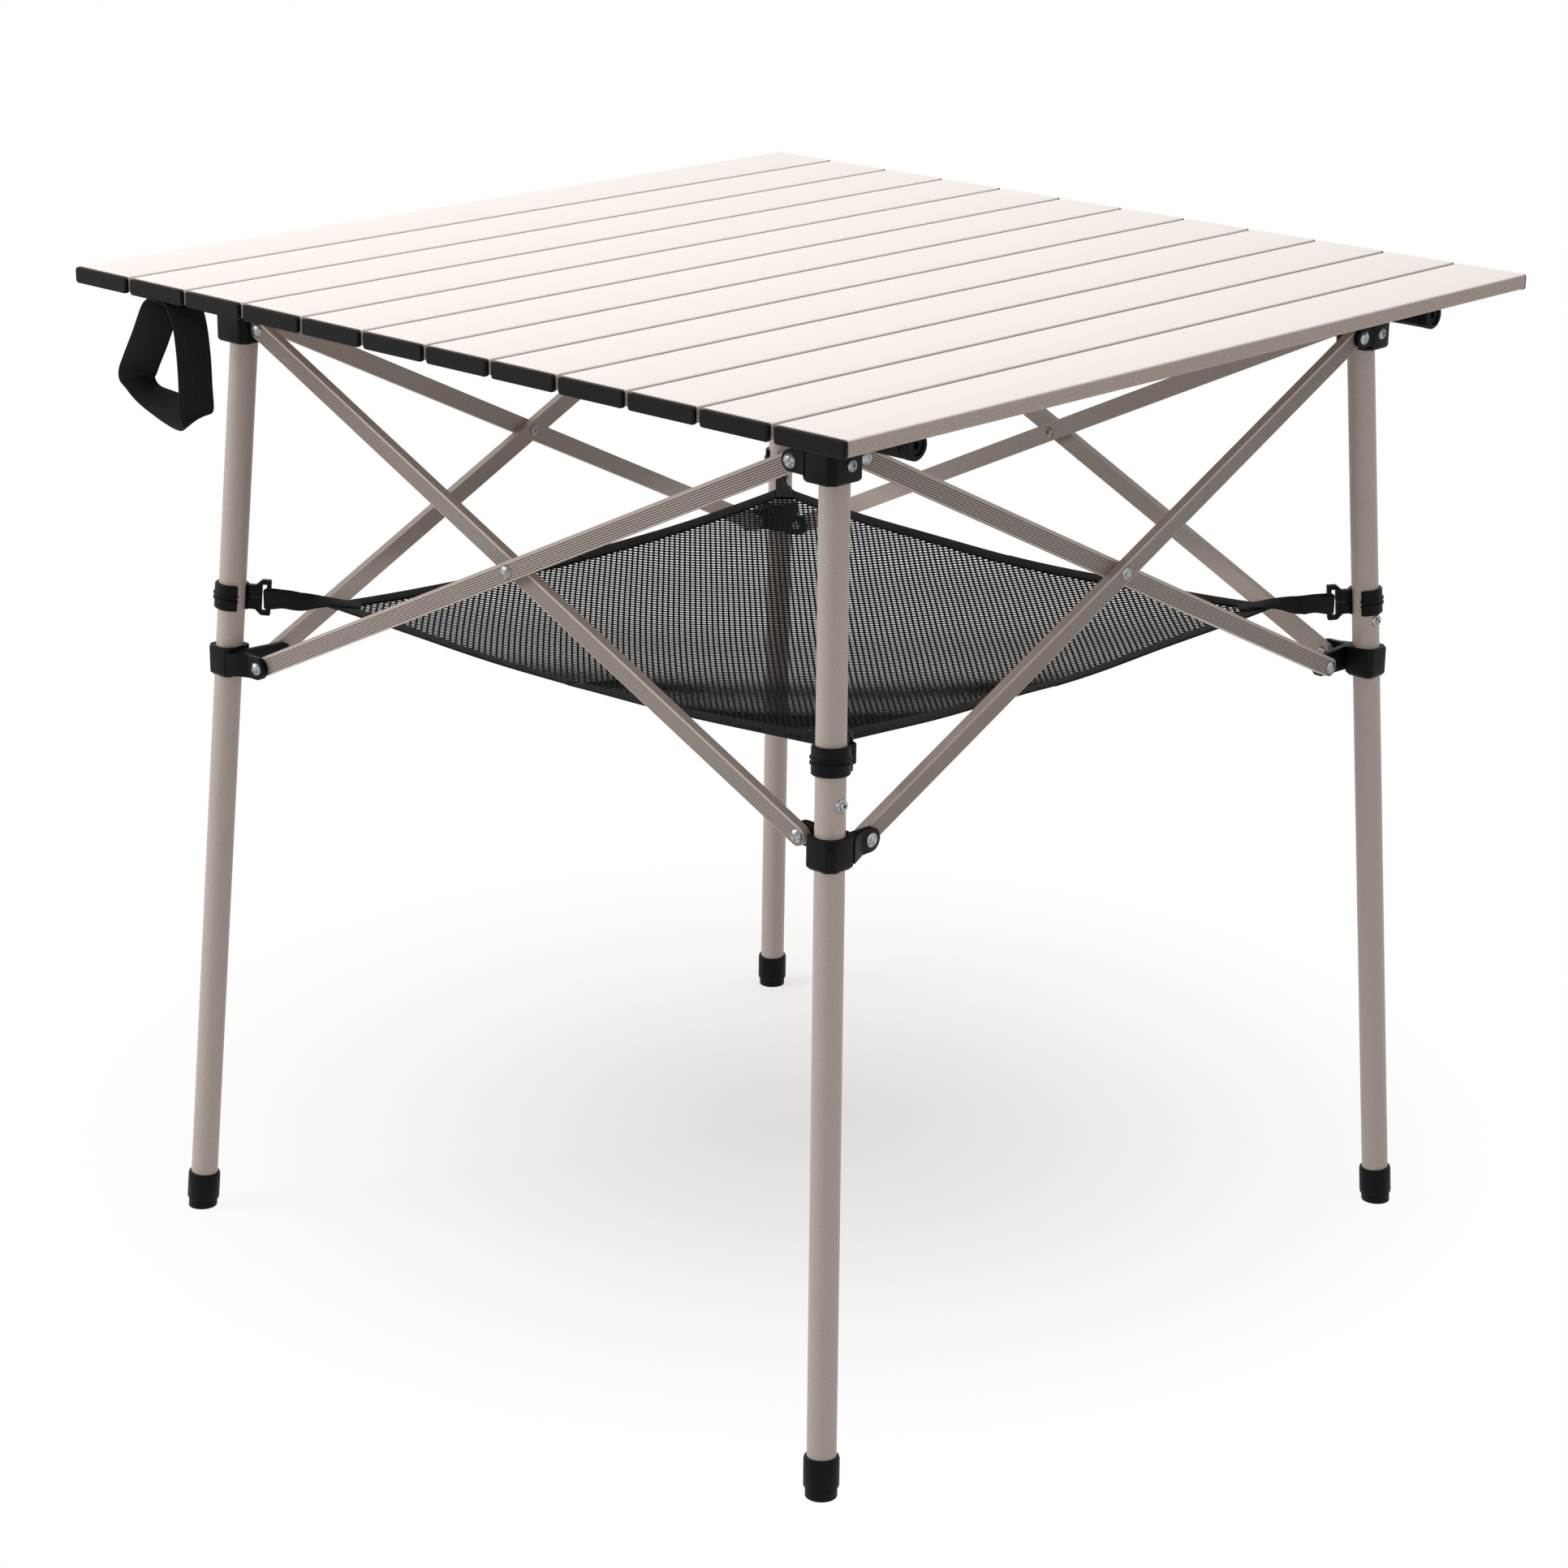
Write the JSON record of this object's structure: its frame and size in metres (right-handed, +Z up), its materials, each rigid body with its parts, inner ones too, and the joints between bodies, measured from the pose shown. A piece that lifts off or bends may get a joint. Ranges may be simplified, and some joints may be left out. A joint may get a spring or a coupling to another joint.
{
  "type": "folding camp kitchen table",
  "caption": "Square folding camp table with a roll-up slatted top on support rails, leaning tube legs joined by scissor bars, and a net shelf hung from clips on the legs.",
  "frame": {"origin": "on the floor under the middle of the table top", "axes": "+X across the slats, +Y along the slats, +Z up"},
  "size_m": [0.6982, 0.6998, 0.694],
  "materials": {
    "slat_metal": "satin anodised, pale sand",
    "frame_metal": "satin sand coat",
    "black_plastic": "moulded matt",
    "zinc_steel": "zinc plated",
    "net_fabric": "knitted net with bound edges",
    "elastic": "woven elastic"
  },
  "bodies": {
    "bracket_front": {"bracket_front": "black_plastic", "bracket_rivets_front": "zinc_steel"},
    "leg_front": {"leg_front": "frame_metal", "foot_front": "black_plastic", "net_clip_front": "black_plastic"},
    "slider_front": {"slider_front": "black_plastic", "slider_rivets_front": "zinc_steel"},
    "net_front": {"net_front": "net_fabric"},
    "bracket_right": {"bracket_right": "black_plastic", "bracket_rivets_right": "zinc_steel"},
    "leg_right": {"leg_right": "frame_metal", "foot_right": "black_plastic", "net_clip_right": "black_plastic"},
    "slider_right": {"slider_right": "black_plastic", "slider_rivets_right": "zinc_steel"},
    "net_right": {"net_right": "net_fabric"},
    "bracket_back": {"bracket_back": "black_plastic", "bracket_rivets_back": "zinc_steel"},
    "leg_back": {"leg_back": "frame_metal", "foot_back": "black_plastic", "net_clip_back": "black_plastic"},
    "slider_back": {"slider_back": "black_plastic", "slider_rivets_back": "zinc_steel"},
    "net_back": {"net_back": "net_fabric"},
    "bracket_left": {"bracket_left": "black_plastic", "bracket_rivets_left": "zinc_steel"},
    "leg_left": {"leg_left": "frame_metal", "foot_left": "black_plastic", "net_clip_left": "black_plastic"},
    "slider_left": {"slider_left": "black_plastic", "slider_rivets_left": "zinc_steel"},
    "net_left": {"net_left": "net_fabric"},
    "bar_outer_front_left": {"bar_outer_front_left": "frame_metal", "cross_rivet_front_left": "zinc_steel"},
    "bar_inner_front_left": {"bar_inner_front_left": "frame_metal"},
    "bar_outer_front_right": {"bar_outer_front_right": "frame_metal", "cross_rivet_front_right": "zinc_steel"},
    "bar_inner_front_right": {"bar_inner_front_right": "frame_metal"},
    "bar_outer_back_right": {"bar_outer_back_right": "frame_metal", "cross_rivet_back_right": "zinc_steel"},
    "bar_inner_back_right": {"bar_inner_back_right": "frame_metal"},
    "bar_outer_back_left": {"bar_outer_back_left": "frame_metal", "cross_rivet_back_left": "zinc_steel"},
    "bar_inner_back_left": {"bar_inner_back_left": "frame_metal"},
    "top": {"slat_1": "slat_metal", "rail_front": "frame_metal", "rail_rear": "frame_metal", "slat_cords": "elastic"},
    "slat_2": {"slat_2": "slat_metal", "carry_strap": "elastic"},
    "slat_3": {"slat_3": "slat_metal"},
    "slat_4": {"slat_4": "slat_metal"},
    "slat_5": {"slat_5": "slat_metal"},
    "slat_6": {"slat_6": "slat_metal"},
    "slat_7": {"slat_7": "slat_metal"},
    "slat_8": {"slat_8": "slat_metal"},
    "slat_9": {"slat_9": "slat_metal"},
    "slat_10": {"slat_10": "slat_metal"},
    "slat_11": {"slat_11": "slat_metal"},
    "slat_12": {"slat_12": "slat_metal"}
  },
  "joints": [
    {"name": "frame_fold", "type": "hinge", "parent": "bracket_front", "child": "bar_outer_front_left", "pos_m": [0.249, -0.27615, 0.6545], "axis": [0, -1, 0], "range_deg": [0, 58], "deforming": ["net_front", "net_right", "net_back", "net_left"]},
    {"name": "cross_front_left", "type": "hinge", "parent": "bar_outer_front_left", "child": "bar_inner_front_left", "pos_m": [0, -0.27615, 0.53625], "axis": [0, -1, 0], "range_deg": [-116.01, 0]},
    {"name": "top_pivot_left", "type": "hinge", "parent": "bar_inner_front_left", "child": "bracket_left", "pos_m": [-0.249, -0.27615, 0.6545], "axis": [0, -1, 0], "range_deg": [0, 58.01]},
    {"name": "slider_pivot_left", "type": "hinge", "parent": "bar_outer_front_left", "child": "slider_left", "pos_m": [-0.249, -0.27615, 0.418], "axis": [0, -1, 0], "range_deg": [-58.01, 0]},
    {"name": "slider_pivot_front", "type": "hinge", "parent": "bar_inner_front_left", "child": "slider_front", "pos_m": [0.249, -0.27615, 0.418], "axis": [0, -1, 0], "range_deg": [0, 58.01]},
    {"name": "top_pivot_front_inner", "type": "hinge", "parent": "bracket_front", "child": "bar_inner_front_right", "pos_m": [0.27615, -0.249, 0.6545], "axis": [1, 0, 0], "range_deg": [-58.01, 0]},
    {"name": "cross_front_right", "type": "hinge", "parent": "bar_inner_front_right", "child": "bar_outer_front_right", "pos_m": [0.27615, 0, 0.53625], "axis": [1, 0, 0], "range_deg": [0, 116.01]},
    {"name": "top_pivot_right", "type": "hinge", "parent": "bar_outer_front_right", "child": "bracket_right", "pos_m": [0.27615, 0.249, 0.6545], "axis": [1, 0, 0], "range_deg": [-58.01, 0]},
    {"name": "slider_pivot_right", "type": "hinge", "parent": "bar_inner_front_right", "child": "slider_right", "pos_m": [0.27615, 0.249, 0.418], "axis": [1, 0, 0], "range_deg": [0, 58.01]},
    {"name": "top_pivot_left_outer", "type": "hinge", "parent": "bracket_left", "child": "bar_outer_back_left", "pos_m": [-0.27615, -0.249, 0.6545], "axis": [-1, 0, 0], "range_deg": [0, 58.01]},
    {"name": "cross_back_left", "type": "hinge", "parent": "bar_outer_back_left", "child": "bar_inner_back_left", "pos_m": [-0.27615, 0, 0.53625], "axis": [-1, 0, 0], "range_deg": [-116.01, 0]},
    {"name": "top_pivot_back", "type": "hinge", "parent": "bar_inner_back_left", "child": "bracket_back", "pos_m": [-0.27615, 0.249, 0.6545], "axis": [-1, 0, 0], "range_deg": [0, 58.01]},
    {"name": "slider_pivot_back", "type": "hinge", "parent": "bar_outer_back_left", "child": "slider_back", "pos_m": [-0.27615, 0.249, 0.418], "axis": [-1, 0, 0], "range_deg": [-58.01, 0]},
    {"name": "top_pivot_back_outer", "type": "hinge", "parent": "bracket_back", "child": "bar_outer_back_right", "pos_m": [-0.249, 0.27615, 0.6545], "axis": [0, 1, 0], "range_deg": [0, 58.01]},
    {"name": "top_pivot_right_inner", "type": "hinge", "parent": "bracket_right", "child": "bar_inner_back_right", "pos_m": [0.249, 0.27615, 0.6545], "axis": [0, 1, 0], "range_deg": [-58.01, 0]},
    {"name": "leg_rock_front", "type": "hinge", "parent": "bracket_front", "child": "leg_front", "pos_m": [0.2695, -0.2695, 0.6545], "axis": [0.7071, 0.7071, 0], "range_deg": [0, 2.59]},
    {"name": "net_drop_front", "type": "hinge", "parent": "leg_front", "child": "net_front", "pos_m": [0.2643, -0.2643, 0.457], "axis": [-0.7071, -0.7071, 0], "range_deg": [0, 84.01]},
    {"name": "leg_rock_right", "type": "hinge", "parent": "bracket_right", "child": "leg_right", "pos_m": [0.2695, 0.2695, 0.6545], "axis": [-0.7071, 0.7071, 0], "range_deg": [0, 2.59]},
    {"name": "net_drop_right", "type": "hinge", "parent": "leg_right", "child": "net_right", "pos_m": [0.2643, 0.2643, 0.457], "axis": [0.7071, -0.7071, 0], "range_deg": [0, 84.01]},
    {"name": "leg_rock_back", "type": "hinge", "parent": "bracket_back", "child": "leg_back", "pos_m": [-0.2695, 0.2695, 0.6545], "axis": [-0.7071, -0.7071, 0], "range_deg": [0, 2.59]},
    {"name": "net_drop_back", "type": "hinge", "parent": "leg_back", "child": "net_back", "pos_m": [-0.2643, 0.2643, 0.457], "axis": [0.7071, 0.7071, 0], "range_deg": [0, 84.01]},
    {"name": "leg_rock_left", "type": "hinge", "parent": "bracket_left", "child": "leg_left", "pos_m": [-0.2695, -0.2695, 0.6545], "axis": [0.7071, -0.7071, 0], "range_deg": [0, 2.59]},
    {"name": "net_drop_left", "type": "hinge", "parent": "leg_left", "child": "net_left", "pos_m": [-0.2643, -0.2643, 0.457], "axis": [-0.7071, 0.7071, 0], "range_deg": [0, 84.01]},
    {"name": "top_lift", "type": "slide", "parent": "bracket_front", "child": "top", "axis": [0, 0, 1], "range_m": [0, 0.25]},
    {"name": "top_roll", "type": "hinge", "parent": "top", "child": "slat_2", "pos_m": [-0.292, 0, 0.694], "axis": [0, -1, 0], "range_deg": [0, 27], "deforming": ["slat_cords", "carry_strap"]},
    {"name": "slat_roll_3", "type": "hinge", "parent": "slat_2", "child": "slat_3", "pos_m": [-0.2336, 0, 0.694], "axis": [0, -1, 0], "range_deg": [0, 27.01]},
    {"name": "slat_roll_4", "type": "hinge", "parent": "slat_3", "child": "slat_4", "pos_m": [-0.1752, 0, 0.694], "axis": [0, -1, 0], "range_deg": [0, 27.01]},
    {"name": "slat_roll_5", "type": "hinge", "parent": "slat_4", "child": "slat_5", "pos_m": [-0.1168, 0, 0.694], "axis": [0, -1, 0], "range_deg": [0, 27.01]},
    {"name": "slat_roll_6", "type": "hinge", "parent": "slat_5", "child": "slat_6", "pos_m": [-0.0584, 0, 0.694], "axis": [0, -1, 0], "range_deg": [0, 27.01]},
    {"name": "slat_roll_7", "type": "hinge", "parent": "slat_6", "child": "slat_7", "pos_m": [0, 0, 0.694], "axis": [0, -1, 0], "range_deg": [0, 27.01]},
    {"name": "slat_roll_8", "type": "hinge", "parent": "slat_7", "child": "slat_8", "pos_m": [0.0584, 0, 0.694], "axis": [0, -1, 0], "range_deg": [0, 27.01]},
    {"name": "slat_roll_9", "type": "hinge", "parent": "slat_8", "child": "slat_9", "pos_m": [0.1168, 0, 0.694], "axis": [0, -1, 0], "range_deg": [0, 27.01]},
    {"name": "slat_roll_10", "type": "hinge", "parent": "slat_9", "child": "slat_10", "pos_m": [0.1752, 0, 0.694], "axis": [0, -1, 0], "range_deg": [0, 27.01]},
    {"name": "slat_roll_11", "type": "hinge", "parent": "slat_10", "child": "slat_11", "pos_m": [0.2336, 0, 0.694], "axis": [0, -1, 0], "range_deg": [0, 27.01]},
    {"name": "slat_roll_12", "type": "hinge", "parent": "slat_11", "child": "slat_12", "pos_m": [0.292, 0, 0.694], "axis": [0, -1, 0], "range_deg": [0, 27.01]}
  ],
  "couplings": [
    {"joint": "cross_front_left", "follows": "frame_fold", "ratio": -2},
    {"joint": "top_pivot_left", "follows": "frame_fold", "ratio": 1},
    {"joint": "slider_pivot_left", "follows": "frame_fold", "ratio": -1},
    {"joint": "slider_pivot_front", "follows": "frame_fold", "ratio": 1},
    {"joint": "top_pivot_front_inner", "follows": "frame_fold", "ratio": -1},
    {"joint": "cross_front_right", "follows": "frame_fold", "ratio": 2},
    {"joint": "top_pivot_right", "follows": "frame_fold", "ratio": -1},
    {"joint": "slider_pivot_right", "follows": "frame_fold", "ratio": 1},
    {"joint": "top_pivot_left_outer", "follows": "frame_fold", "ratio": 1},
    {"joint": "cross_back_left", "follows": "frame_fold", "ratio": -2},
    {"joint": "top_pivot_back", "follows": "frame_fold", "ratio": 1},
    {"joint": "slider_pivot_back", "follows": "frame_fold", "ratio": -1},
    {"joint": "top_pivot_back_outer", "follows": "frame_fold", "ratio": 1},
    {"joint": "top_pivot_right_inner", "follows": "frame_fold", "ratio": -1},
    {"joint": "leg_rock_front", "follows": "frame_fold", "ratio": 0.044486},
    {"joint": "net_drop_front", "follows": "frame_fold", "ratio": 1.4483},
    {"joint": "leg_rock_right", "follows": "frame_fold", "ratio": 0.044486},
    {"joint": "net_drop_right", "follows": "frame_fold", "ratio": 1.4483},
    {"joint": "leg_rock_back", "follows": "frame_fold", "ratio": 0.044486},
    {"joint": "net_drop_back", "follows": "frame_fold", "ratio": 1.4483},
    {"joint": "leg_rock_left", "follows": "frame_fold", "ratio": 0.044486},
    {"joint": "net_drop_left", "follows": "frame_fold", "ratio": 1.4483},
    {"joint": "slat_roll_3", "follows": "top_roll", "ratio": 1},
    {"joint": "slat_roll_4", "follows": "top_roll", "ratio": 1},
    {"joint": "slat_roll_5", "follows": "top_roll", "ratio": 1},
    {"joint": "slat_roll_6", "follows": "top_roll", "ratio": 1},
    {"joint": "slat_roll_7", "follows": "top_roll", "ratio": 1},
    {"joint": "slat_roll_8", "follows": "top_roll", "ratio": 1},
    {"joint": "slat_roll_9", "follows": "top_roll", "ratio": 1},
    {"joint": "slat_roll_10", "follows": "top_roll", "ratio": 1},
    {"joint": "slat_roll_11", "follows": "top_roll", "ratio": 1},
    {"joint": "slat_roll_12", "follows": "top_roll", "ratio": 1}
  ]
}
